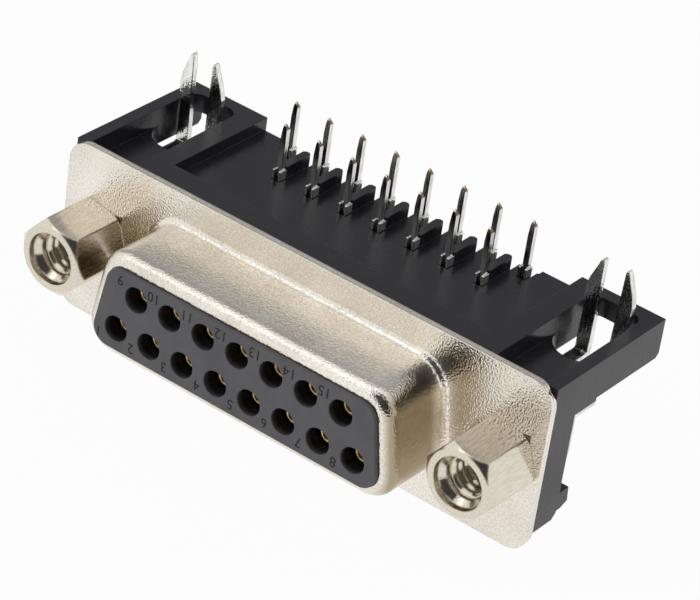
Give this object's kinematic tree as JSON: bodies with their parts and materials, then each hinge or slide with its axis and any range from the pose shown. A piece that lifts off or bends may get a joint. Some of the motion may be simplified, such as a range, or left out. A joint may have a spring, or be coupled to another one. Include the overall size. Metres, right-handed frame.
{
  "type": "d-sub connector",
  "caption": "Right-angle D-shaped socket connector for a circuit board, with a metal shell, hex screwlocks, forked board locks and a moulded pin bracket.",
  "frame": {"origin": "midway between the two screwlocks, on the front plane of the flange", "axes": "+X along the connector, -Y towards the mating plug, +Z towards the circuit board, the way the solder tails point"},
  "size_m": [0.0392, 0.0182, 0.0162],
  "materials": {
    "plated_shell": "satin nickel plate with a fine grain",
    "plated_hex": "turned and brushed nickel plate",
    "tinned_strip": "bright tin",
    "contact_metal": "bright tin on the tails, gold inside the sockets",
    "socket_plastic": "moulded, slightly matt",
    "bracket_plastic": "moulded, glossy"
  },
  "bodies": {
    "root": {"front_shell": "plated_shell", "rear_shell": "plated_shell", "front_insulator": "socket_plastic", "rear_insulator": "socket_plastic", "pin_bracket": "bracket_plastic", "contact_01": "contact_metal", "contact_02": "contact_metal", "contact_03": "contact_metal", "contact_04": "contact_metal", "contact_05": "contact_metal", "contact_06": "contact_metal", "contact_07": "contact_metal", "contact_08": "contact_metal", "contact_09": "contact_metal", "contact_10": "contact_metal", "contact_11": "contact_metal", "contact_12": "contact_metal", "contact_13": "contact_metal", "contact_14": "contact_metal", "contact_15": "contact_metal", "boardlock_left": "tinned_strip", "boardlock_right": "tinned_strip", "screwlock_left": "plated_hex", "screwlock_right": "plated_hex", "nut_left": "plated_hex", "nut_right": "plated_hex"}
  },
  "joints": []
}
